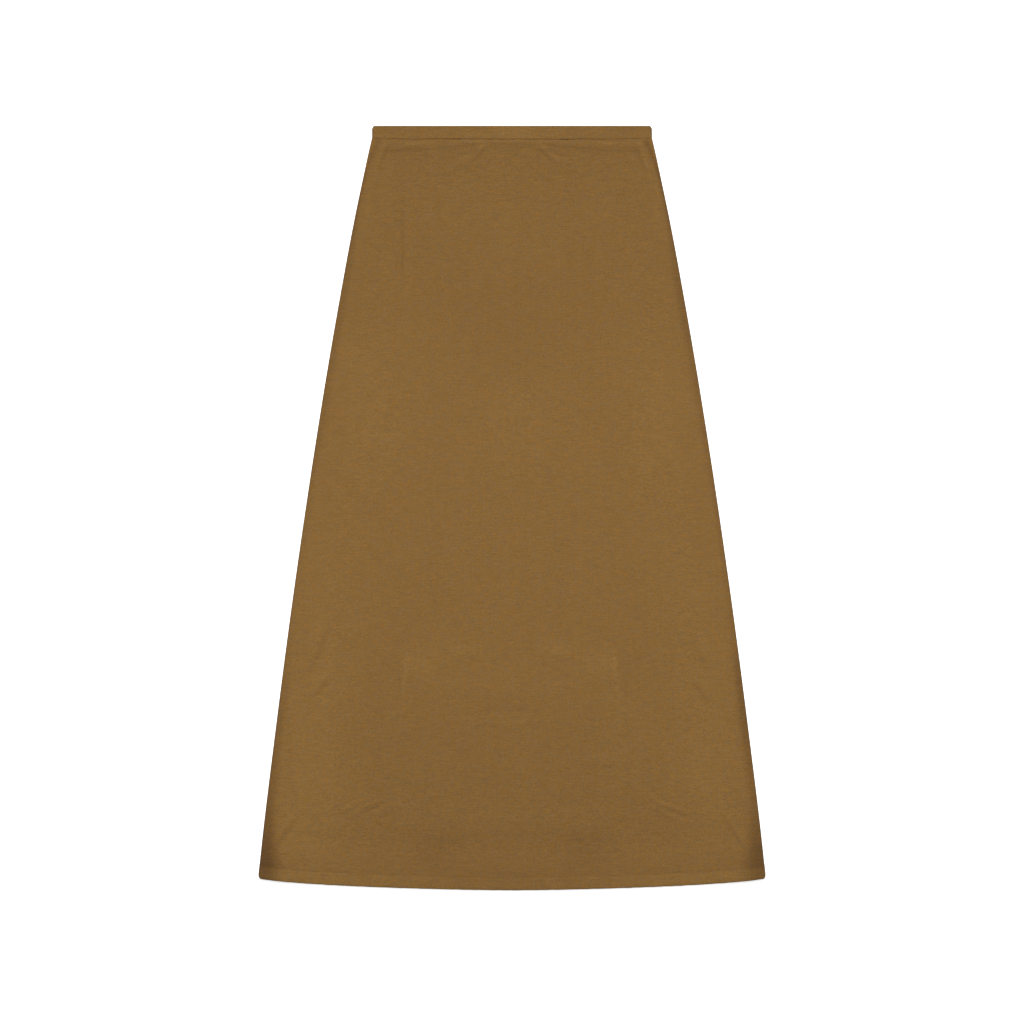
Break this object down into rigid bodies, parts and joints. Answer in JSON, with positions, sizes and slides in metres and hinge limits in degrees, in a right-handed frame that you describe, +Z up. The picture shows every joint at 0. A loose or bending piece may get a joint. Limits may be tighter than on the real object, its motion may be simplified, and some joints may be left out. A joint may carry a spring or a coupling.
{
  "type": "maxi skirt",
  "caption": "Plain A-line maxi skirt of brown knitted jersey, laid flat with its front up, with a narrow folded waistband, sewn sides and a turned-up hem.",
  "frame": {"origin": "on the surface that the skirt lies on, under the middle of its bounding box", "axes": "+X to the right as seen from above with the waist at the top, +Y from the hem to the waist, +Z up out of the front of the skirt"},
  "size_m": [0.6338, 0.955, 0.008],
  "materials": {
    "jersey": "matt fine-gauge jersey",
    "waistband_jersey": "matt fine-gauge jersey, folded double"
  },
  "bodies": {
    "root": {"front_panel": "jersey", "back_panel": "jersey", "waistband": "waistband_jersey"}
  },
  "joints": []
}
